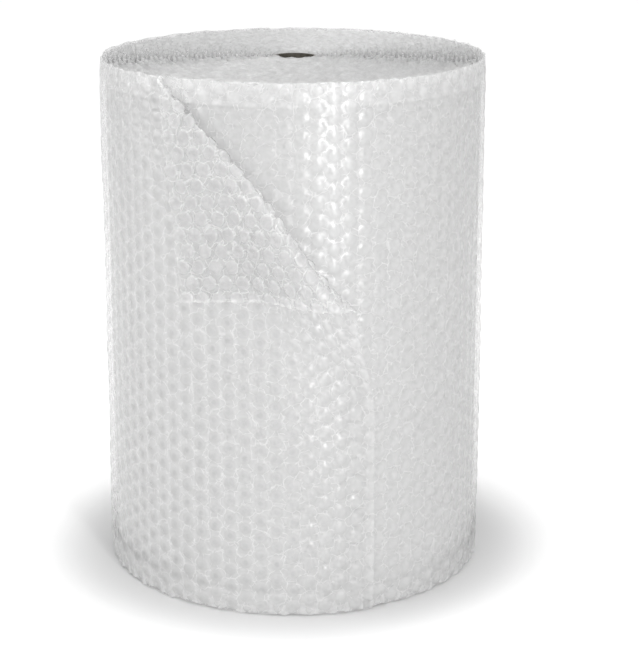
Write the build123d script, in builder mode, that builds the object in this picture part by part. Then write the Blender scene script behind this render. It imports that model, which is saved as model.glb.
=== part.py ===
"""A roll of large-bubble cushioning film, standing on one end.

One long sheet of bubble film is wound on a cardboard core. Its turns are one
solid, whose outside is a spiral that ends in a step at the film's free end.
The free end's top corner is turned over outwards and lies against the roll, so
the turn beneath shows where that corner was.

The origin is on the core's axis at the lower end, +Z is up along the axis, and
-Y is the side that shows the turned corner.
"""

import os
from math import cos, degrees, radians, sin

from build123d import *

# Driving dimensions, in millimetres and degrees.
film_width = 1000.0  # the sheet's width, which is the roll's height as it stands
roll_radius = 372.0  # outside of the last turn, at the film's free end
turn_thickness = 8.6  # one turn of film, with its bubbles pressed as wound
free_end_angle = -67.3  # direction of the free end about +Z, counted from +X

top_leg = 411.0  # where the fold meets the film's top edge, from its free end
end_leg = 366.0  # where the fold meets the free end, down from the top edge
corner_rise = 30.0  # how far the turned corner stands out from the last turn
fold_radius = 12.0  # rounding along the fold

core_bore_radius = 38.0  # for a dispenser's spindle
core_wall = 4.0  # wound board
core_recess = 8.0  # the core's upper end lies this far below the film's edges

# Sizes that follow from them.
core_radius = core_bore_radius + core_wall
core_length = film_width - core_recess
centre_step = turn_thickness / 4  # the spiral loses this much radius each quarter turn
under_radius = roll_radius - turn_thickness  # outside of the turn below the last one
crest_radius = roll_radius + corner_rise
half_span = top_leg / roll_radius / 2  # half the folded stretch, in radians
fold_middle = free_end_angle - degrees(half_span)
over = 2 * turn_thickness  # how far a cutter reaches past what it trims


def direction(angle):
    """Unit vector at an angle about +Z."""
    return Vector(cos(radians(angle)), sin(radians(angle)))


# The spiral is four quarter circles, one after the other, clockwise from the free
# end. Their centres stand on the corners of a small square about the axis.
quarter_angles = [free_end_angle - 90 * n for n in range(1, 5)]
first_centre = (direction(quarter_angles[0]) + direction(quarter_angles[1])) * (-centre_step / 2)
free_end_point = first_centre + direction(free_end_angle) * roll_radius

# The fold is drawn on an upright plane through the first centre that faces the
# middle of the folded stretch.
fold_plane = Plane(
    origin=first_centre,
    x_dir=direction(fold_middle + 90),
    z_dir=direction(fold_middle),
)


def on_film(along, down):
    """A point of the film, from its free end and top edge, as the fold plane shows it."""
    return (roll_radius * sin(half_span - along / roll_radius), film_width - down)


# Turned over, the corner is the mirror image of where it was across the fold.
legs_squared = top_leg**2 + end_leg**2
fold_top = on_film(top_leg, 0)
fold_foot = on_film(0, end_leg)
corner_tip = on_film(
    2 * top_leg * end_leg**2 / legs_squared,
    2 * top_leg**2 * end_leg / legs_squared,
)

# ---------------------------------------------------------------- core_tube
with BuildPart() as core_tube:
    with BuildSketch():
        Circle(core_radius)
        Circle(core_bore_radius, mode=Mode.SUBTRACT)
    extrude(amount=core_length)

# ----------------------------------------------- the corner, before and after
with BuildPart() as missing_corner:
    with BuildSketch(Plane(first_centre)):
        Circle(roll_radius + over)
        Circle(under_radius, mode=Mode.SUBTRACT)
    extrude(amount=film_width + over)
    with BuildSketch(fold_plane):
        with BuildLine():
            Polyline(
                fold_foot,
                (fold_foot[0] + over, fold_foot[1]),
                (fold_foot[0] + over, film_width + over),
                (fold_top[0], film_width + over),
                fold_top,
                close=True,
            )
        make_face()
    extrude(amount=roll_radius + over, mode=Mode.INTERSECT)

with BuildPart() as turned_corner:
    with BuildSketch(Plane(first_centre)):
        Circle(crest_radius)
        Circle(under_radius, mode=Mode.SUBTRACT)
    extrude(amount=film_width)
    with BuildSketch(fold_plane):
        with BuildLine():
            Polyline(fold_top, corner_tip, fold_foot, close=True)
        make_face()
    extrude(amount=crest_radius + over, mode=Mode.INTERSECT)
    outer_face = turned_corner.faces().filter_by(GeomType.CYLINDER).sort_by(
        lambda face: face.radius
    )[-1]
    fillet(outer_face.edges().sort_by(SortBy.LENGTH)[-1], fold_radius)

# ---------------------------------------------------------------- film_roll
with BuildPart() as film_roll:
    with BuildSketch():
        with BuildLine():
            start = free_end_point
            centre = first_centre
            radius = roll_radius
            for angle in quarter_angles:
                middle = centre + direction(angle + 45) * radius
                end = centre + direction(angle) * radius
                ThreePointArc(start, middle, end)
                radius -= centre_step
                centre += direction(angle) * centre_step
                start = end
            Line(start, free_end_point)
        make_face()
        Circle(core_radius, mode=Mode.SUBTRACT)
    extrude(amount=film_width)
    add(missing_corner.part, mode=Mode.SUBTRACT)
    add(turned_corner.part)

# ---------------------------------------------------------------- files
os.makedirs("parts", exist_ok=True)
for label, piece in (("core_tube", core_tube), ("film_roll", film_roll)):
    piece.part.label = label
    export_step(piece.part, f"parts/{label}.step")
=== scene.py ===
# %% [markdown]
# # A roll of large-bubble cushioning film
#
# The real roll is one long sheet of clear film wound on a cardboard tube. The sheet is two
# films welded together: a flat one, which faces outwards on the roll, and a moulded one whose
# bubbles face the core. So most of the roll shows the flat film with a ring for each bubble,
# and only the corner that someone folded over shows the bubbles themselves.
#
# The imported CAD model gives the size and place of everything. This script adds the looks. One
# could paint rings on a plain cylinder instead, but the fold, the rims and the glitter need real
# shape, so every film that shows is a mesh.

# %% [markdown]
# ## The fixed frame
#
# The imported CAD model is the fixed frame, and nothing here moves or resizes it.

# %% Load the fixed frame
import math

import bmesh
import bpy
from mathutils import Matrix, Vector, noise


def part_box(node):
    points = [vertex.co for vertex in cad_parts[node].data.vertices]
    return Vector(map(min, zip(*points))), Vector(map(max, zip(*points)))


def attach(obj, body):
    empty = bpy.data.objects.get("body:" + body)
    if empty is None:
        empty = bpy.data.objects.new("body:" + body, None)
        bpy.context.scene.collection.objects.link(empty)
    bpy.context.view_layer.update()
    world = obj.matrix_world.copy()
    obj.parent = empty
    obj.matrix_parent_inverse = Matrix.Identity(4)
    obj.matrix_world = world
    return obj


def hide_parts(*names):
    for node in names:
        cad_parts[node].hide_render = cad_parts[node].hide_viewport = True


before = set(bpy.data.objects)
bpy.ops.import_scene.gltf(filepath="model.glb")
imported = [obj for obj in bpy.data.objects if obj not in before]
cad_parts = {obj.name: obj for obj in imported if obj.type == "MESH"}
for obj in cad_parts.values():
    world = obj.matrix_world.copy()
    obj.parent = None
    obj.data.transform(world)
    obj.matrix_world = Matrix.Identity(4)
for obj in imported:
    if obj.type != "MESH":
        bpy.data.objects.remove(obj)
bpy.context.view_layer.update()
scene = bpy.context.scene

# %% [markdown]
# ## Sizes
#
# Lengths are in metres. The frame gives the film's width and the core's size. The turn's
# thickness, the roll's radius at the free end and the fold are the CAD model's own sizes.
# Bubbles of 28 mm on a 34 mm pitch are an ordinary large size. They stand in staggered columns,
# so neighbouring columns are closer than the pitch.

# %% Sizes
film_bottom, film_top = (corner.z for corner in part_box("film_roll"))
film_width = film_top - film_bottom
core_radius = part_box("core_tube")[1].x
turn = 0.0086
roll_radius = 0.372
free_end_angle = math.radians(-67.3)

top_leg = 0.411
end_leg = 0.366

bubble_radius = 0.0138
row_pitch = 0.034
column_pitch = row_pitch * math.sqrt(3) / 2
bubble_height = 0.0095
pattern_start = Vector((0.006, -0.022))  # the cuts run through the pattern where they fall
print(f"film {film_width:.3f} m wide, columns {column_pitch * 1000:.1f} mm apart")

# %% [markdown]
# ## From flat film to wound roll
#
# Everything made of film is modelled flat first, as it comes off the machine. A point of flat
# film has three numbers: how far along it is from the free end, how far down from the top
# edge, and how far it stands out from the film. One function then winds such a point onto the
# roll. Its radius shrinks by one thickness a turn, so the film's length and its area stay true.
# A cylinder would be simpler, but it has no step at the free end.

# %% Wind a point of flat film onto the roll
end_radius = roll_radius + turn / 8


def radius_at(along):
    """The roll's radius where the film is this far from its free end."""
    return math.sqrt(end_radius**2 - turn * along / math.pi)


def length_at(radius):
    """The film's length from its free end to this radius, the other way round."""
    return math.pi * (end_radius**2 - radius**2) / turn


def wind(along, down, out):
    """Where a point of the film lies once it is wound."""
    radius = radius_at(along)
    angle = free_end_angle - math.tau * (end_radius - radius) / turn
    reach = radius + out
    return Vector((reach * math.cos(angle), reach * math.sin(angle), film_top - down))


one_turn = length_at(end_radius - turn)
film_length = length_at(core_radius)
print(f"one turn is {one_turn:.2f} m, the whole film {film_length:.1f} m")

# %% [markdown]
# ## The fold
#
# The free end's top corner is turned over along a slanting line. At the top edge the fold is
# tight. Towards the free end it opens into a wide soft curl, and the film lifts off the roll
# before it turns. A cross-section through the fold is drawn with a few arcs and straights, as
# a bent strip would lie: lift, rise, turn, fall and settle. Its length is the film's own, so
# the bubbles keep their shape as they go round.

# %% Cross-section of the fold
fold_start = Vector((top_leg, 0.0))
fold_run = Vector((-top_leg, end_leg)).normalized()
fold_past = Vector((-end_leg, -top_leg)).normalized()
fold_length = math.hypot(top_leg, end_leg)

tight_until, open_from = 0.12, 0.52  # along the fold, where the curl starts to open and is open
tight_radius = 0.003
radius_gain = 0.0165
tight_lift, lift_gain = 3, 13  # degrees that the film slopes up before the curl
fall_slope = 16  # degrees that the turned corner slopes down behind it
flap_rest = 0.0025  # the turned corner's flat film lies this far above the last turn


def smooth(value, low, high):
    """0 below low, 1 above high and a smooth step between."""
    share = min(max((value - low) / (high - low), 0.0), 1.0)
    return share * share * (3 - 2 * share)


def fold_segments(run):
    """The cross-section's arcs and straights as (length, turning), and where it starts."""
    openness = smooth(run, tight_until, open_from)
    radius = tight_radius + radius_gain * openness
    lift = math.radians(tight_lift + lift_gain * openness)
    fall = math.radians(fall_slope)
    easy = 4 * radius
    parts = [
        (easy * lift, lift),
        (radius * (0.5 + openness), 0.0),
        (radius * (math.pi + fall - lift), math.pi + fall - lift),
        (0.0, 0.0),
        (easy * fall, -fall),
    ]
    height = trace(parts, math.inf)[1]
    parts[3] = ((height - flap_rest) / math.sin(fall), 0.0)
    total = sum(length for length, turning in parts)
    start = -(total + trace(parts, math.inf)[0]) / 2
    return parts, start, start + total


def trace(parts, distance):
    """Walk the cross-section: the offset, height and slope reached after a distance."""
    offset = height = slope = 0.0
    for length, turning in parts:
        step = min(length, distance)
        distance -= step
        if length == 0:
            continue
        if turning == 0:
            offset += step * math.cos(slope)
            height += step * math.sin(slope)
        else:
            bend = turning / length
            after = slope + bend * step
            offset += (math.sin(after) - math.sin(slope)) / bend
            height -= (math.cos(after) - math.cos(slope)) / bend
            slope = after
        if distance <= 0:
            break
    return offset, height, slope


for run in (0.0, 0.2, 0.4, fold_length):
    parts, start, stop = fold_segments(run)
    print(f"fold at {run:.2f} m: curls from {start * 1000:.0f} to {stop * 1000:.0f} mm")

# %% [markdown]
# ## How loose film lies
#
# The outer film isn't a perfect cylinder. It has broad dents, its rims stray and lean inwards,
# and near the free end the curl has pulled it back and down. A cloth simulation could give
# this, but a little noise and one smooth pull are quicker, and they give the same result each
# time. Noise that is read at a point of the flat film stays with the film through the fold.

# %% Lay the outer film on the roll
broad_dent, fine_dent = 0.0020, 0.0006
rim_reach = 0.035
rim_stray, rim_lean = 0.0024, 0.005

slack_pull = Vector((0.042, 0.030))  # the curl drags the film at the free end back and down
slack_from, slack_full = 0.22, 0.58  # along the fold, where the pull starts and is whole
slack_reach = 0.20  # and it is felt up to this far from the fold
slack_bulge = 0.006  # the loosened film stands out from the roll between the two


def lie(along, down, height):
    """Wind a point of the outer film, with its dents and its uneven, rounded rims."""
    dent = broad_dent * noise.noise(Vector((along * 7, down * 4, 2.0)))
    dent += fine_dent * noise.noise(Vector((along * 24, down * 17, 5.0)))
    upper = down < film_width / 2
    rim = max(0.0, 1 - (down if upper else film_width - down) / rim_reach)
    unevenness = noise.noise(Vector((along * 37, 0.4, float(upper))))
    stray = rim * (rim_stray + rim_stray * unevenness)
    down += stray if upper else -stray
    return wind(along, down, height + dent - rim_lean * rim * rim)


def slack(along, down, height):
    """Wind a point of the last turn where the curl has pulled the film loose."""
    spot = Vector((along, down)) - fold_start
    pull = smooth(spot.dot(fold_run), slack_from, slack_full)
    pull *= 1 - smooth(-spot.dot(fold_past), 0.0, slack_reach)
    moved = Vector((along, down)) + slack_pull * pull
    bulge = slack_bulge * math.sin(math.pi * pull)
    return lie(moved.x, moved.y, height + bulge)


def fold(along, down, out):
    """Wind a point of the last turn, by way of the fold if it lies past it."""
    if along > one_turn:
        return lie(along, down, out)
    spot = Vector((along, down)) - fold_start
    run, past = spot.dot(fold_run), spot.dot(fold_past)
    parts, start, stop = fold_segments(run)
    if past <= start:
        return slack(along, down, out)
    offset, height, slope = trace(parts, min(past, stop) - start)
    offset += start
    if past > stop:
        offset, height, slope = -past, flap_rest, math.pi
    offset -= out * math.sin(slope)
    height += out * math.cos(slope)
    place = fold_start + fold_run * run + fold_past * offset
    return slack(place.x, place.y, height)


tip = fold(0.0, 0.0, 0.0)
print(f"the turned corner's tip hangs {film_top - tip.z:.2f} m below the top")

# %% [markdown]
# ## The bubble cells
#
# The film is tiled with hexagons, one for each bubble. A cell starts as a twelve-sided disc.
# Its rim is pulled to a hexagon, so that cells meet edge to edge, and faces are extruded
# inwards ring by ring to make the weld round the bubble and the swell of the film over it.
# Swelling varies a little from bubble to bubble, which is what makes a real sheet glitter.
# One dense grid with raised points would need many more faces for rings as round as these.

# %% Make one cell, and copy it
cell_sides = 12


def make_cell(rings, hexagon):
    """A disc of rings given as (radius, height). With hexagon, its rim fills a hexagon."""
    cell = bmesh.new()
    bmesh.ops.create_circle(cell, cap_ends=True, segments=cell_sides, radius=1.0)
    face = cell.faces[:][0]
    if face.normal.z < 0:
        bmesh.ops.reverse_faces(cell, faces=[face])
    for vertex in cell.verts:
        angle = math.atan2(vertex.co.y, vertex.co.x)
        corner = round(angle / math.radians(30)) % 2 == 0
        reach = rings[0][0]
        if hexagon:
            reach = row_pitch / math.sqrt(3) if corner else row_pitch / 2
        vertex.co = Vector((math.cos(angle) * reach, math.sin(angle) * reach, rings[0][1]))
    for radius, height in rings[1:-1]:
        face = bmesh.ops.extrude_discrete_faces(cell, faces=[face])["faces"][0]
        for vertex in face.verts:
            angle = math.atan2(vertex.co.y, vertex.co.x)
            vertex.co = Vector((math.cos(angle) * radius, math.sin(angle) * radius, height))
    crown = bmesh.ops.poke(cell, faces=[face])["verts"][0]
    crown.co = Vector((0.0, 0.0, rings[-1][1]))
    return cell


def copies(made, places):
    """One bmesh with a copy of another at each place, which uses that other up."""
    source = bpy.data.meshes.new("source")
    made.to_mesh(source)
    made.free()
    result = bmesh.new()
    for place in places:
        before = len(result.verts)
        result.from_mesh(source)
        result.verts.ensure_lookup_table()
        bmesh.ops.translate(result, verts=result.verts[before:], vec=place)
    bpy.data.meshes.remove(source)
    return result


# %% [markdown]
# ## Where the bubbles are
#
# The mesh, the film's cut edges and the finishes must all agree on the pattern, so one function
# gives a bubble's place on the flat film, and the others ask it.

# %% The pattern of bubbles
def bubble_place(column, row):
    """Where a bubble's centre lies on the flat film."""
    stagger = 0.5 if column % 2 else 0.0
    return column * column_pitch + pattern_start.x, (row + stagger) * row_pitch + pattern_start.y


def nearest_bubble(x, y):
    """The centre of the bubble that a point of the flat film is nearest to."""
    guess = round((x - pattern_start.x) / column_pitch)
    centres = []
    for column in (guess - 1, guess, guess + 1):
        stagger = 0.5 if column % 2 else 0.0
        row = round((y - pattern_start.y) / row_pitch - stagger)
        centres.append(bubble_place(column, row))
    return min(centres, key=lambda centre: math.hypot(x - centre[0], y - centre[1]))


def swell(x, y):
    """How much the bubble at this place of the flat film is swollen, about 1."""
    x, y = nearest_bubble(x, y)
    return 1.0 + 0.5 * noise.noise(Vector((x * 97, y * 97, 0.5)))


row_count = math.ceil(film_width / row_pitch) + 2
swells = [swell(*bubble_place(0, row)) for row in range(row_count)]
print(f"{row_count} bubbles a column, the first one's swelling {min(swells):.2f} to {max(swells):.2f}")

# %% [markdown]
# ## From a flat mesh to a piece
#
# A flat sheet is trimmed to its outline, its flat coordinates are kept as a UV map for the
# finishes, and its points are then wound. Keeping the flat map means that a finish follows
# the bubbles round the fold with no unwrapping.

# %% Trim a sheet and wind it
def trim(sheet, along_limits, down_limits):
    """Cut a flat sheet to its outline."""
    low, high = (along_limits[0], down_limits[0], 0), (along_limits[1], down_limits[1], 0)
    for corner, normal in (
        (low, (-1, 0, 0)), (low, (0, -1, 0)), (high, (1, 0, 0)), (high, (0, 1, 0)),
    ):
        geometry = sheet.verts[:] + sheet.edges[:] + sheet.faces[:]
        bmesh.ops.bisect_plane(
            sheet, geom=geometry, dist=1e-6, plane_co=corner, plane_no=normal, clear_outer=True
        )


def finish_piece(made, name, place):
    """Wind a flat bmesh with place(), and make it a piece that rides on the roll."""
    spots = made.loops.layers.uv.new("film")
    for face in made.faces:
        for loop in face.loops:
            loop[spots].uv = (loop.vert.co.x, loop.vert.co.y)
        face.smooth = True
    for vertex in made.verts:
        vertex.co = place(*vertex.co)
    bmesh.ops.remove_doubles(made, verts=made.verts[:], dist=1e-6)
    mesh = bpy.data.meshes.new(name)
    made.to_mesh(mesh)
    made.free()
    piece = bpy.data.objects.new(name, mesh)
    scene.collection.objects.link(piece)
    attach(piece, "root")
    triangles = sum(len(polygon.vertices) - 2 for polygon in mesh.polygons)
    print(f"{name}: {triangles} triangles")
    return piece


# %% [markdown]
# ## The last turn
#
# This is the film that the eye lands on: the flat side of the whole last turn, with a swell
# over every bubble, and 0.46 m of the turn beneath, which the folded corner lays bare. It is
# one mesh from the free end on, as the real film is, so it runs through the fold unbroken.

# %% Wind the last turn
bare_length = 0.46
film_end = one_turn + bare_length
swell_height = 0.0017

rings = [(row_pitch, 0.0), (bubble_radius, 0.0), (bubble_radius * 0.72, 0.8), (0.0, 1.0)]
rows = [(0, row * row_pitch, 0) for row in range(row_count)]
column = copies(make_cell(rings, hexagon=True), rows)
starts = [bubble_place(number, 0) for number in range(-1, int(film_end / column_pitch) + 2)]
flat = copies(column, [(x, y, 0) for x, y in starts])
bmesh.ops.remove_doubles(flat, verts=flat.verts[:], dist=1e-5)
trim(flat, (0.0, film_end), (0.0, film_width))
for vertex in flat.verts:
    vertex.co.z *= swell_height * swell(vertex.co.x, vertex.co.y)
last_turn = finish_piece(flat, "last_turn", fold)
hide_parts("film_roll")

# %% [markdown]
# ## The bubbles of the folded corner
#
# On the corner the moulded film faces out. Each bubble is a low round tub with a rounded
# shoulder and a slightly domed top. They stand on the inner side of the film, so winding them
# through the same fold brings them outside by itself. Handling has crumpled them, so each is
# pushed about by noise as it rises from its weld. A copy for every bubble of the roll would be
# a great many faces that nobody sees, so only the corner, the curl and the free end have them.

# %% Mould the corner's bubbles
shoulder = [
    (bubble_radius * 1.08, 0.0), (bubble_radius * 1.04, 0.38), (bubble_radius * 0.92, 0.70),
    (bubble_radius * 0.68, 0.90), (bubble_radius * 0.34, 0.98), (0.0, 1.0),
]


curl_reach = 0.14  # the curl starts no further than this before the fold
corner_length = 0.6  # and no bubble of it lies further along the film than this
flattened = 0.60  # a handled bubble's height, as a share of a new one's
crumpled = 0.0034


def on_corner(x, y):
    """Whether a bubble lies on the folded corner or its curl, or at the free end's edge."""
    spot = Vector((x, y)) - fold_start
    in_film = 0 < x < corner_length and 0 < y < film_width
    return in_film and (spot.dot(fold_past) > -curl_reach or x < 2 * column_pitch)


columns = range(int(corner_length / column_pitch) + 1)
places = [bubble_place(column, row) for column in columns for row in range(row_count)]
places = [(x, y, 0) for x, y in places if on_corner(x, y)]
moulded = copies(make_cell(shoulder, hexagon=False), places)
bmesh.ops.reverse_faces(moulded, faces=moulded.faces[:])
trim(moulded, (0.0, film_end), (0.0, film_width))
noise.seed_set(1)  # or noise_vector starts from the clock, and each run crumples differently
for vertex in moulded.verts:
    x, y, rise = vertex.co
    crumple = noise.noise_vector(Vector((x * 75, y * 75, 7.0)))
    vertex.co.z = -bubble_height * flattened * rise * (swell(x, y) + 0.9 * crumple.z)
    vertex.co.x += crumpled * rise * crumple.x
    vertex.co.y += crumpled * rise * crumple.y
corner_bubbles = finish_piece(moulded, "corner_bubbles", fold)

# %% [markdown]
# ## The wound film inside
#
# Behind the last turn the film is a milky body of many turns. It is a plain spiral ring, kept
# short of both ends, where the film's separate edges show instead. Dozens of wound sheets
# would look the same from outside and be far heavier. Two flat rings close the ends.

# %% Make the inner body
edge_depth = 0.035
body_length = length_at(radius_at(bare_length) - turn) - bare_length
settle_length = 0.35
body = bmesh.new()
bmesh.ops.create_grid(body, x_segments=360, y_segments=8, size=0.5)
for vertex in body.verts:
    vertex.co.x = bare_length + (vertex.co.x + 0.5) * body_length
    vertex.co.y = edge_depth + (vertex.co.y + 0.5) * (film_width - 2 * edge_depth)


def beneath(along, down, out):
    """Where a point lies one turn in. It starts a further turn in, so that the ring closes."""
    sunk = 1 - smooth(along, bare_length, bare_length + settle_length)
    return wind(along, down, out - turn * (1 + sunk))


wound_body = finish_piece(body, "wound_body", beneath)

# %% Close the body's ends
def as_drawn(x, y, z):
    """A point that is already in its place."""
    return Vector((x, y, z))


body_ends = bmesh.new()
outer = radius_at(film_end) - turn
for height in (film_bottom + edge_depth, film_top - edge_depth):
    inner_vertex = body_ends.verts.new((core_radius, 0, height))
    outer_vertex = body_ends.verts.new((outer, 0, height))
    edge = body_ends.edges.new((inner_vertex, outer_vertex))
    bmesh.ops.spin(
        body_ends, geom=[inner_vertex, outer_vertex, edge], cent=(0, 0, 0), axis=(0, 0, 1),
        angle=math.tau, steps=96, use_merge=True,
    )
bmesh.ops.recalc_face_normals(body_ends, faces=body_ends.faces[:])
for face in body_ends.faces:
    if (face.normal.z > 0) != (face.calc_center_median().z > film_width / 2):
        face.normal_flip()
wound_ends = finish_piece(body_ends, "wound_ends", as_drawn)

# %% [markdown]
# ## The film's edges at the roll's ends
#
# Seen from above, the roll is a tight spiral of two film edges: the flat film's, which is
# smooth, and the moulded film's, which goes in and out with every bubble the cut ran through.
# Each is a long flat strip, pushed into its waves and then wound. The edges aren't level: the
# film has wandered a few millimetres on its way round, and the bubbles pull it about.

# %% How deep and how uneven the film's edges are
edge_waves = ((0.9, 3.7, 0.0035), (38, 9.1, 0.0042), (110, 2.3, 0.003))  # scale, seed, size
mean_stray = 0.0045
flat_step, moulded_step = 0.012, 0.0049  # between a strip's points


def bubble_wave(along, down):
    """How far the moulded film stands from the flat one at a point, from 0 to 1."""
    deepest = 0.0
    nearest = round((along - pattern_start.x) / column_pitch)
    for column in (nearest - 1, nearest, nearest + 1):
        for row in (0, 1):
            x, y = bubble_place(column, row)
            reach = math.hypot(along - x, down - y) / bubble_radius
            deepest = max(deepest, 1 - reach**4 if reach < 1 else 0.0)
    return deepest


def flat_side(along, down):
    """The flat film's distance from the wound surface."""
    return -0.0004


def moulded_side(along, down):
    """The moulded film's distance from the wound surface."""
    press = 0.8 + 0.2 * noise.noise(Vector((along * 9, 0, 1)))
    return -0.0008 - bubble_wave(along, down) * (turn - 0.0022) * press


def wander(along):
    """How far the edge strays from its mean at a point along the film."""
    return sum(size * noise.noise(Vector((along * scale, seed, 0))) for scale, seed, size in edge_waves)


# %% Wind the film's edges
def edge_strip(name, first, step, depth_of, at_top):
    """A strip of film edge wound from one length to the core."""
    count = int((film_length - 0.02 - first) / step)
    strip = bmesh.new()
    bmesh.ops.create_grid(strip, x_segments=count, y_segments=2, size=0.5)
    for vertex in strip.verts:
        along = first + (vertex.co.x + 0.5) * count * step
        share = vertex.co.y + 0.5
        down = share * (edge_depth + 0.01)
        out = depth_of(along, down)
        stray = max(0.0, mean_stray + wander(along) * (1 if depth_of is flat_side else 1.3))
        down += (1 - share) * stray
        vertex.co = Vector((along, down if at_top else film_width - down, out))
    if not at_top:
        bmesh.ops.reverse_faces(strip, faces=strip.faces[:])
    return finish_piece(strip, name, wind)


flat_start = film_end - 0.03
top_flat_edges = edge_strip("top_flat_edges", flat_start, flat_step, flat_side, True)
top_moulded_edges = edge_strip("top_moulded_edges", top_leg + 0.02, moulded_step, moulded_side, True)
base_flat_edges = edge_strip("base_flat_edges", flat_start, flat_step, flat_side, False)
base_moulded_edges = edge_strip("base_moulded_edges", 0.02, moulded_step, moulded_side, False)

# %% [markdown]
# ## Where a point lies in its bubble
#
# All the film's finishes follow its bubbles, so they share one node group. It reads the flat
# film's coordinates, which the pieces carry as a UV map, and finds the nearest bubble of the
# two staggered lattices. It puts out the distance from that bubble's centre, as a share of its
# radius, and a chance number that is the same all over one bubble.

# %% Math nodes in one line
def vector_math(tree, operation, first, second=None):
    """A Vector Math node's output. Each input is a socket or a plain tuple."""
    node = tree.nodes.new("ShaderNodeVectorMath")
    node.operation = operation
    for socket, value in zip(node.inputs, (first, second)):
        if isinstance(value, tuple):
            socket.default_value = value
        elif value is not None:
            tree.links.new(value, socket)
    return node.outputs["Value" if operation == "LENGTH" else "Vector"]


def math_node(tree, operation, *values):
    """A Math node's output. Each input is a socket or a plain number."""
    node = tree.nodes.new("ShaderNodeMath")
    node.operation = operation
    for socket, value in zip(node.inputs, values):
        if isinstance(value, (int, float)):
            socket.default_value = value
        else:
            tree.links.new(value, socket)
    return node.outputs[0]


# %% A node group for the bubble pattern
bubble_cell = bpy.data.node_groups.new("bubble_cell", "ShaderNodeTree")
bubble_cell.interface.new_socket("Spot", in_out="INPUT", socket_type="NodeSocketVector")
bubble_cell.interface.new_socket("Distance", in_out="OUTPUT", socket_type="NodeSocketFloat")
bubble_cell.interface.new_socket("Chance", in_out="OUTPUT", socket_type="NodeSocketFloat")
entry = bubble_cell.nodes.new("NodeGroupInput")
leave = bubble_cell.nodes.new("NodeGroupOutput")

cell_size = (2 * column_pitch, row_pitch, 1.0)
found = []
for first_column in (0, 1):
    x, y = bubble_place(first_column, 0)
    spot = vector_math(bubble_cell, "SUBTRACT", entry.outputs["Spot"], (x, y, 0.0))
    cells = vector_math(bubble_cell, "DIVIDE", spot, cell_size)
    cells = vector_math(bubble_cell, "ADD", cells, (0.5, 0.5, 0.5))
    cells = vector_math(bubble_cell, "FLOOR", cells)
    centre = vector_math(bubble_cell, "MULTIPLY", cells, cell_size)
    away = vector_math(bubble_cell, "SUBTRACT", spot, centre)
    distance = vector_math(bubble_cell, "LENGTH", away)
    label = vector_math(bubble_cell, "ADD", cells, (0.5 * first_column, 0.25, 0.0))
    found.append((distance, label))
(first_distance, first_label), (second_distance, second_label) = found
nearest = math_node(bubble_cell, "MINIMUM", first_distance, second_distance)
share = math_node(bubble_cell, "DIVIDE", nearest, bubble_radius)
is_first = math_node(bubble_cell, "LESS_THAN", first_distance, second_distance)
pick = bubble_cell.nodes.new("ShaderNodeMix")
pick.data_type = "VECTOR"
bubble_cell.links.new(is_first, pick.inputs[0])
bubble_cell.links.new(second_label, pick.inputs[4])
bubble_cell.links.new(first_label, pick.inputs[5])
chance = bubble_cell.nodes.new("ShaderNodeTexWhiteNoise")
chance.noise_dimensions = "3D"
bubble_cell.links.new(pick.outputs[1], chance.inputs["Vector"])
bubble_cell.links.new(share, leave.inputs["Distance"])
bubble_cell.links.new(chance.outputs["Value"], leave.inputs["Chance"])
print(f"bubble_cell: a group of {len(bubble_cell.nodes)} nodes")

# %% [markdown]
# ## Materials
#
# Clear film shows by what it reflects more than by its colour. So each finish is a pale, glossy
# Principled shader whose alpha is high where two films are welded and low over a bubble, where
# one thin film lets the layer beneath show. Its greys also hold painted highlights and painted
# shade. Small creases in a Bump node break up the gloss.
# Refraction would be truer for one film, but through dozens it is slow and turns to noise. The
# helpers here each make one kind of node, so that a finish reads as a recipe.

# %% Helpers for the materials
def material(name):
    """A new material, with its nodes, its links and its shader."""
    made = bpy.data.materials.new(name)
    made.use_nodes = True
    nodes, links = made.node_tree.nodes, made.node_tree.links
    return made, nodes, links, nodes["Principled BSDF"]


def film_spot(tree, waver):
    """The flat film's coordinates, pushed about by a few millimetres of noise."""
    spot = tree.nodes.new("ShaderNodeUVMap")
    spot.uv_map = "film"
    push = tree.nodes.new("ShaderNodeTexNoise")
    push.inputs["Scale"].default_value = 55
    push.inputs["Detail"].default_value = 3
    tree.links.new(spot.outputs["UV"], push.inputs["Vector"])
    centred = vector_math(tree, "SUBTRACT", push.outputs["Color"], (0.5, 0.5, 0.5))
    scaled = vector_math(tree, "MULTIPLY", centred, (waver, waver, 0.0))
    return vector_math(tree, "ADD", spot.outputs["UV"], scaled)


def cell_of(tree, spot):
    """The bubble pattern's distance and chance sockets."""
    cell = tree.nodes.new("ShaderNodeGroup")
    cell.node_tree = bubble_cell
    tree.links.new(spot, cell.inputs["Spot"])
    return cell.outputs["Distance"], cell.outputs["Chance"]


def ramp(tree, source, stops):
    """A Color Ramp's colour from (position, grey or colour) stops."""
    node = tree.nodes.new("ShaderNodeValToRGB")
    node.color_ramp.interpolation = "EASE"
    points = node.color_ramp.elements
    while len(points) < len(stops):
        points.new(1.0)
    for point, (position, colour) in zip(points, stops):
        if not isinstance(colour, tuple):
            colour = (colour, colour, colour)
        point.position = position
        point.color = (*colour, 1.0)
    tree.links.new(source, node.inputs["Fac"])
    return node.outputs["Color"]


def noise_of(tree, spot, scale, detail=4.0, rough=0.6):
    """A noise texture's value, 0 to 1."""
    node = tree.nodes.new("ShaderNodeTexNoise")
    node.inputs["Scale"].default_value = scale
    node.inputs["Detail"].default_value = detail
    node.inputs["Roughness"].default_value = rough
    tree.links.new(spot, node.inputs["Vector"])
    return node.outputs["Fac"]


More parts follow.
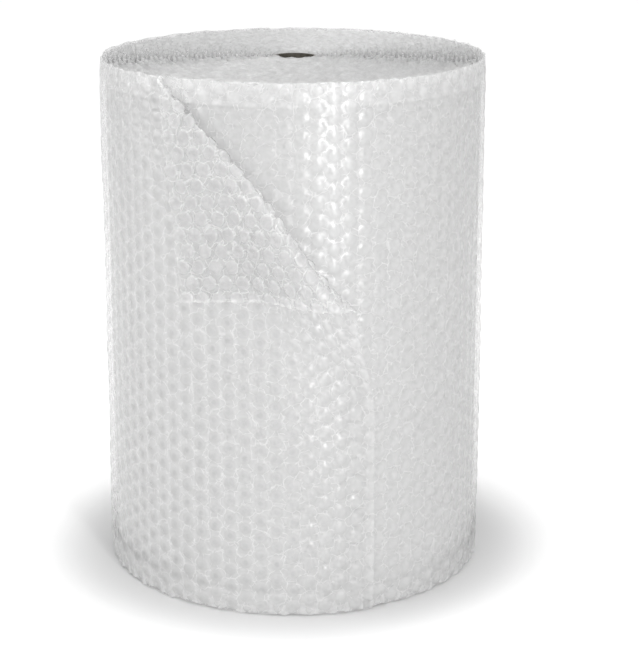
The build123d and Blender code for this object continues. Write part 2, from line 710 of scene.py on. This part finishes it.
def map_range(tree, source, come, go):
    """A Map Range node's result, from one pair of limits to another, smoothly."""
    node = tree.nodes.new("ShaderNodeMapRange")
    node.interpolation_type = "SMOOTHSTEP"
    for socket, value in zip(node.inputs[1:5], come + go):
        socket.default_value = value
    tree.links.new(source, node.inputs["Value"])
    return node.outputs["Result"]


def mix_grey(tree, share, first, second):
    """Two greys, plain numbers or sockets, mixed by a share."""
    change = math_node(tree, "SUBTRACT", second, first)
    return math_node(tree, "MULTIPLY_ADD", share, change, first)


def bump(tree, shader, height, strength, distance):
    """Feed a height into the shader's normal."""
    node = tree.nodes.new("ShaderNodeBump")
    node.inputs["Strength"].default_value = strength
    node.inputs["Distance"].default_value = distance
    tree.links.new(height, node.inputs["Height"])
    tree.links.new(node.outputs["Normal"], shader.inputs["Normal"])


# %% [markdown]
# ## What brightens clear film
#
# Three things catch the light on a real sheet: its cut edges, which are patchy, the creases in
# the web between the bubbles, and the faint ribs that run down each column. Each is a mask
# from 0 to 1, which paints a highlight into the film's colour and alpha. They could be modelled,
# but they are finer than the mesh, and masks on the flat coordinates cost nothing.

# %% Masks for painted highlights on edges, creases and ribs
# Painted highlights on the cut edges reach this far.
edge_highlight_reach = (0.0005, 0.0035)  # from the cut, in metres: where the shine is full and where it ends
turned_highlight_reach = (0.001, 0.008)  # the same on the turned corner's side, which faces the eye
turned_depth = (0.33, 0.42)  # down the free end, where that side's shine fades


def cut_edge_highlights(tree, spot, along, down):
    """The painted highlight on the film's cut edges."""
    from_base = math_node(tree, "SUBTRACT", film_width, down)
    from_side = math_node(tree, "MINIMUM", down, from_base)
    sides = map_range(tree, from_side, edge_highlight_reach, (0.5, 0.0))
    turned = map_range(tree, down, turned_depth, (1.0, 0.0))
    free_cut = math_node(tree, "MULTIPLY", map_range(tree, along, turned_highlight_reach, (1.0, 0.0)), turned)
    edges = math_node(tree, "MAXIMUM", sides, free_cut)
    patchy = map_range(tree, noise_of(tree, spot, 45), (0.42, 0.62), (0.1, 0.8))
    return math_node(tree, "MULTIPLY", edges, patchy)


def crease_highlights(tree, web):
    """Painted highlights in thin lines across the web, from the borders of Voronoi cells."""
    cracks = tree.nodes.new("ShaderNodeTexVoronoi")
    cracks.feature = "DISTANCE_TO_EDGE"
    cracks.inputs["Scale"].default_value = 58
    tree.links.new(film_spot(tree, 0.016), cracks.inputs["Vector"])
    lines = map_range(tree, cracks.outputs["Distance"], (0.0, 0.07), (1.0, 0.0))
    return math_node(tree, "MULTIPLY", lines, web)


def rib_highlights(tree, along, web):
    """A painted highlight on the web between each two columns of bubbles."""
    phase = math_node(tree, "SUBTRACT", along, pattern_start.x)
    phase = math_node(tree, "MULTIPLY", phase, math.pi / column_pitch)
    wave = math_node(tree, "ABSOLUTE", math_node(tree, "SINE", phase))
    return math_node(tree, "MULTIPLY", wave, web)


# %% [markdown]
# ## How grey clear film looks
#
# For its first metre the last turn has painted shade at each bubble's centre, a dark dot with a
# pale web round it. At the free end itself, and again towards the far end of the turn, it is the
# other way round: pale discs on a darker web, a painted reflection. The grey goes smoothly from
# one to the other along the film.

# %% Greys of painted shaded dots and painted lit discs
dots_give_way = (1.2, 1.9)  # along the film, where the painted shaded dots give way to painted lit discs
dots_begin = (0.03, 0.24)  # and from the free end, where the painted shaded dots begin


def film_grey(tree, distance, chance, along, greys):
    """The film's grey, from its bubbles, with painted shade and painted reflection that change along
    the film.
    """
    dotted = map_range(tree, along, dots_give_way, (1.0, 0.0))
    dotted = math_node(tree, "MULTIPLY", dotted, map_range(tree, along, dots_begin, (0.1, 1.0)))
    disc = map_range(tree, distance, (0.55, 1.0), (1.0, 0.0))
    # Painted shade: a dark dot at each bubble's centre.
    pressed = map_range(tree, distance, (0.16, 0.60), (1.0, 0.0))
    pressed = math_node(tree, "MULTIPLY", pressed, math_node(tree, "MULTIPLY_ADD", chance, 0.5, 0.5))
    # Pale discs on a darker web are a painted reflection; the dotted stretch gets the painted shaded
    # dots.
    lit_disc_grey = mix_grey(tree, disc, greys["web round lit discs"], greys["lit disc"])
    dotted_grey = mix_grey(tree, disc, greys["tight web"], greys["tight disc"])
    dotted_grey = mix_grey(tree, pressed, dotted_grey, greys["pressed"])
    return mix_grey(tree, dotted, lit_disc_grey, dotted_grey)


# %% [markdown]
# ## Clear film
#
# One function makes both clear films: the flat one, and the thinner skin of the bubbles. The
# shader's alpha is lower for shadow rays, because clear film hardly darkens what it covers,
# and it fades to nothing where the bare stretch ends under the roll. Colours stay below white,
# so that a lamp's reflection has room to show.
# The masks' painted highlights take the colour towards a pale grey.

# %% Make a clear film
shadow_share = 0.25  # of the film's alpha, which is all that shadow rays meet
# The pale grey of the painted highlights.
highlight_grey = (0.96, 0.96, 0.96, 1)


def clear_film(name, alpha_stops, greys, rough_stops, crease):
    """A glossy film whose finish follows the distance from a bubble's centre; its greys hold painted
    light and shade.
    """
    made, nodes, links, shader = material(name)
    tree = made.node_tree
    spot = film_spot(tree, 0.0045)
    distance, chance = cell_of(tree, spot)
    size = math_node(tree, "MULTIPLY_ADD", chance, 0.3, 1.35)
    half = math_node(tree, "DIVIDE", distance, size)
    apart = nodes.new("ShaderNodeSeparateXYZ")
    links.new(spot, apart.inputs[0])
    along, down = apart.outputs["X"], apart.outputs["Y"]

    web = map_range(tree, distance, (0.75, 1.05), (0.12, 1.0))
    # Painted highlights on cut edges, creases and ribs, which also raise the alpha.
    painted_highlights = math_node(tree, "MULTIPLY_ADD", crease_highlights(tree, web), 0.4, cut_edge_highlights(tree, spot, along, down))
    painted_highlights = math_node(tree, "MULTIPLY_ADD", rib_highlights(tree, along, web), 0.12, painted_highlights)

    alpha = ramp(tree, half, alpha_stops)
    alpha = math_node(tree, "MULTIPLY_ADD", chance, 0.06, alpha)
    alpha = math_node(tree, "MULTIPLY_ADD", painted_highlights, 0.45, alpha)
    under = map_range(tree, along, (film_end - 0.16, film_end - 0.02), (1.0, 0.0))
    alpha = math_node(tree, "MULTIPLY", alpha, under)
    is_shadow = nodes.new("ShaderNodeLightPath").outputs["Is Shadow Ray"]
    passing = math_node(tree, "MULTIPLY_ADD", is_shadow, shadow_share - 1, 1.0)
    links.new(math_node(tree, "MULTIPLY", alpha, passing), shader.inputs["Alpha"])

    # The colour goes towards the pale grey where the painted highlights are.
    bright = nodes.new("ShaderNodeMix")
    bright.data_type = "RGBA"
    links.new(painted_highlights, bright.inputs[0])
    links.new(film_grey(tree, distance, chance, along, greys), bright.inputs[6])
    bright.inputs[7].default_value = highlight_grey
    links.new(bright.outputs[2], shader.inputs["Base Color"])
    links.new(ramp(tree, half, rough_stops), shader.inputs["Roughness"])
    shader.inputs["Specular IOR Level"].default_value = 1.0
    shader.inputs["Coat Weight"].default_value = 1.0
    shader.inputs["Coat Roughness"].default_value = 0.1
    bump(tree, shader, noise_of(tree, spot, 150, 5, 0.65), crease, 0.004)
    return made


# %% The flat film and the bubbles' skin
# The greys hold painted shade in the dots and a painted reflection in the lit discs.
film = clear_film(
    "clear_film",
    [(0.0, 0.40), (0.45, 0.39), (0.66, 0.47), (0.78, 0.43), (1.0, 0.42)],
    {"web round lit discs": 0.66, "lit disc": 0.80, "tight web": 0.78, "tight disc": 0.77, "pressed": 0.58},
    [(0.0, 0.12), (0.5, 0.14), (0.75, 0.30), (1.0, 0.30)],
    0.27,
)
bubble_skin = clear_film(
    "bubble_skin",
    [(0.0, 0.38), (0.45, 0.38), (0.62, 0.44), (0.74, 0.50), (1.0, 0.46)],
    {"web round lit discs": 0.78, "lit disc": 0.75, "tight web": 0.78, "tight disc": 0.75, "pressed": 0.74},
    [(0.0, 0.16), (1.0, 0.22)],
    0.8,
)
last_turn.data.materials.append(film)
corner_bubbles.data.materials.append(bubble_skin)
for made in (film, bubble_skin):
    print(f"{made.name}: {len(made.node_tree.nodes)} nodes")

# %% [markdown]
# ## The film's edges
#
# Seen from its end, each film is a bright thin line, and the roll glitters. A pale, half clear
# shader with patchy greys does it. The strips themselves are the detail here, so no bump is needed.

# %% Film edges
edge_film, nodes, links, shader = material("film_edges")
tree = edge_film.node_tree
patches = noise_of(tree, film_spot(tree, 0.003), 120)
links.new(ramp(tree, patches, [(0.3, 0.84), (0.7, 1.0)]), shader.inputs["Base Color"])
shader.inputs["Roughness"].default_value = 0.25
shader.inputs["Alpha"].default_value = 0.58
edge_strips = (top_flat_edges, top_moulded_edges, base_flat_edges, base_moulded_edges)
for piece in edge_strips:
    piece.data.materials.append(edge_film)
print(f"film_edges: on {len(edge_strips)} strips")

# %% [markdown]
# ## The wound film
#
# Light that has gone through many turns comes back milky, with soft grey dots where the next
# bubbles are. The body is opaque, and the same pattern group draws its dots, with more waver,
# because they lie deeper and blur.

# %% Wound film
milk, nodes, links, shader = material("wound_film")
tree = milk.node_tree
distance, chance = cell_of(tree, film_spot(tree, 0.006))
half = math_node(tree, "DIVIDE", distance, 1.5)
grey = ramp(tree, half, [(0.0, 0.56), (0.20, 0.58), (0.40, 0.68), (0.7, 0.70), (1.0, 0.68)])
links.new(grey, shader.inputs["Base Color"])
shader.inputs["Roughness"].default_value = 0.35
for piece in (wound_body, wound_ends):
    piece.data.materials.append(milk)
print(f"wound_film: {len(tree.nodes)} nodes")

# %% [markdown]
# ## The core
#
# The tube is plain wound board, and only its dark mouth shows. The CAD node is kept as it is
# and gets matt grey-brown mottle, far darker than board, which is painted shade for the inside
# of the mouth. It reads Object coordinates because a CAD mesh has no UVs.

# %% Core board, darkened as painted shade
shaded_board, nodes, links, shader = material("core_board")
tree = shaded_board.node_tree
place = tree.nodes.new("ShaderNodeTexCoord").outputs["Object"]
# Painted shade: greys far darker than board, as the inside of the mouth looks.
shaded_mottle = ramp(tree, noise_of(tree, place, 90), [(0.3, (0.06, 0.055, 0.045)), (0.7, (0.13, 0.12, 0.10))])
links.new(shaded_mottle, shader.inputs["Base Color"])
shader.inputs["Roughness"].default_value = 0.9
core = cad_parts["core_tube"]
for slot in core.material_slots:
    slot.material = shaded_board
print(f"core_board: on {len(core.material_slots)} slot of {core.name}")

# %% [markdown]
# ## Floor
#
# The roll stands in a white studio. The floor is pale and keeps the roll's soft shadow. A
# little light of its own, which only the camera and reflections see, takes the rest of it to
# plain white. It is nothing at the roll and grows over 0.2 m, which paints a soft shadow round
# the foot on top of the real one. A lamp turned up until the floor clips would wash out the pale film
# as well.

# %% Floor
bpy.ops.mesh.primitive_plane_add(size=24, location=(0, 0, film_bottom))
floor = bpy.context.object
floor.name = "floor"
ground, nodes, links, shader = material("white_floor")
shader.inputs["Base Color"].default_value = (0.78, 0.78, 0.78, 1)
shader.inputs["Roughness"].default_value = 1.0
shader.inputs["Specular IOR Level"].default_value = 0.0
tree = ground.node_tree
place = nodes.new("ShaderNodeTexCoord").outputs["Object"]
from_axis = vector_math(tree, "LENGTH", place)
# Painted shadow: no glow at the roll's foot, rising over 0.2 m.
shadow_ring_glow = map_range(tree, from_axis, (roll_radius, roll_radius + 0.20), (0.0, 0.43))
far = map_range(tree, from_axis, (0.6, 2.5), (0.0, 0.3))
glow = math_node(tree, "ADD", shadow_ring_glow, far)
rays = nodes.new("ShaderNodeLightPath").outputs
seen = math_node(tree, "MAXIMUM", rays["Is Camera Ray"], rays["Is Glossy Ray"])
glow = math_node(tree, "MULTIPLY", glow, seen)
links.new(glow, shader.inputs["Emission Strength"])
shader.inputs["Emission Color"].default_value = (1, 1, 1, 1)
floor.data.materials.append(ground)
print(f"floor {floor.dimensions.x:.0f} m square")

# %% [markdown]
# ## World
#
# The world lights the roll evenly from all round at a plain level. Rays that the camera sends,
# straight or by way of gloss, find plain white instead, which is the backdrop.

# %% World
world = bpy.data.worlds.new("studio")
scene.world = world
world.use_nodes = True
nodes, links = world.node_tree.nodes, world.node_tree.links
background = nodes["Background"]
background.inputs["Color"].default_value = (0.35, 0.35, 0.35, 1)
white = nodes.new("ShaderNodeBackground")
white.inputs["Color"].default_value = (1, 1, 1, 1)
choose = nodes.new("ShaderNodeMixShader")
rays = nodes.new("ShaderNodeLightPath").outputs
seen = math_node(world.node_tree, "MAXIMUM", rays["Is Camera Ray"], rays["Is Glossy Ray"])
seen = math_node(world.node_tree, "MAXIMUM", seen, rays["Is Transmission Ray"])
links.new(seen, choose.inputs[0])
links.new(background.outputs[0], choose.inputs[1])
links.new(white.outputs[0], choose.inputs[2])
links.new(choose.outputs[0], nodes["World Output"].inputs["Surface"])
print(f"world light {background.inputs['Color'].default_value[0]:.2f}")

# %% [markdown]
# ## Lamps
#
# Gloss needs something to reflect. A large softbox on the left models the roll's side, and a
# tall thin one right of the camera makes the bright upright band that a glossy cylinder shows.
# One above lights the end, and one behind keeps the back from going dark when it is turned.

# %% Lamps
def softbox(name, azimuth, elevation, distance, size, power):
    """A square or oblong lamp that looks at the roll's middle."""
    lamp = bpy.data.lights.new(name, "AREA")
    lamp.shape = "RECTANGLE"
    lamp.size, lamp.size_y = size
    lamp.energy = power
    holder = bpy.data.objects.new(name, lamp)
    a, e = math.radians(azimuth), math.radians(elevation)
    back = Vector((math.sin(a) * math.cos(e), -math.cos(a) * math.cos(e), math.sin(e)))
    middle = Vector((0, 0, film_bottom + film_width / 2))
    holder.location = middle + back * distance
    holder.rotation_euler = back.to_track_quat("Z", "Y").to_euler()
    holder.visible_camera = False
    scene.collection.objects.link(holder)
    print(f"{name}: {power} W")


softbox("key_light", -74, 24, 3.2, (2.2, 2.2), 31)
softbox("band_light", 19, 14, 3.0, (0.20, 2.6), 36)
softbox("back_light", 165, 30, 3.2, (2.2, 2.2), 16)
softbox("top_light", 20, 82, 2.8, (2.4, 1.6), 46)

# %% [markdown]
# ## Camera
#
# A long lens from a little above, aimed just right of the axis, with a small downward shift
# that keeps the roll's sides nearly upright. A larger shift would make them parallel, but then
# a camera put elsewhere with the same lens would lose the roll.

# %% Camera
lens_camera = bpy.data.cameras.new("camera")
lens_camera.lens = 104
lens_camera.sensor_width = 36
lens_camera.shift_y = -0.10
camera = bpy.data.objects.new("camera", lens_camera)
camera.location = (0, -3.656, 1.532)
pitch = math.radians(14.64)
aim = math.radians(0.76)
camera.rotation_euler = (math.pi / 2 - pitch, 0, -aim)
scene.collection.objects.link(camera)
scene.camera = camera
scene.view_settings.view_transform = "Standard"
print(f"camera {-camera.location.y:.2f} m in front, {camera.location.z:.2f} m up")
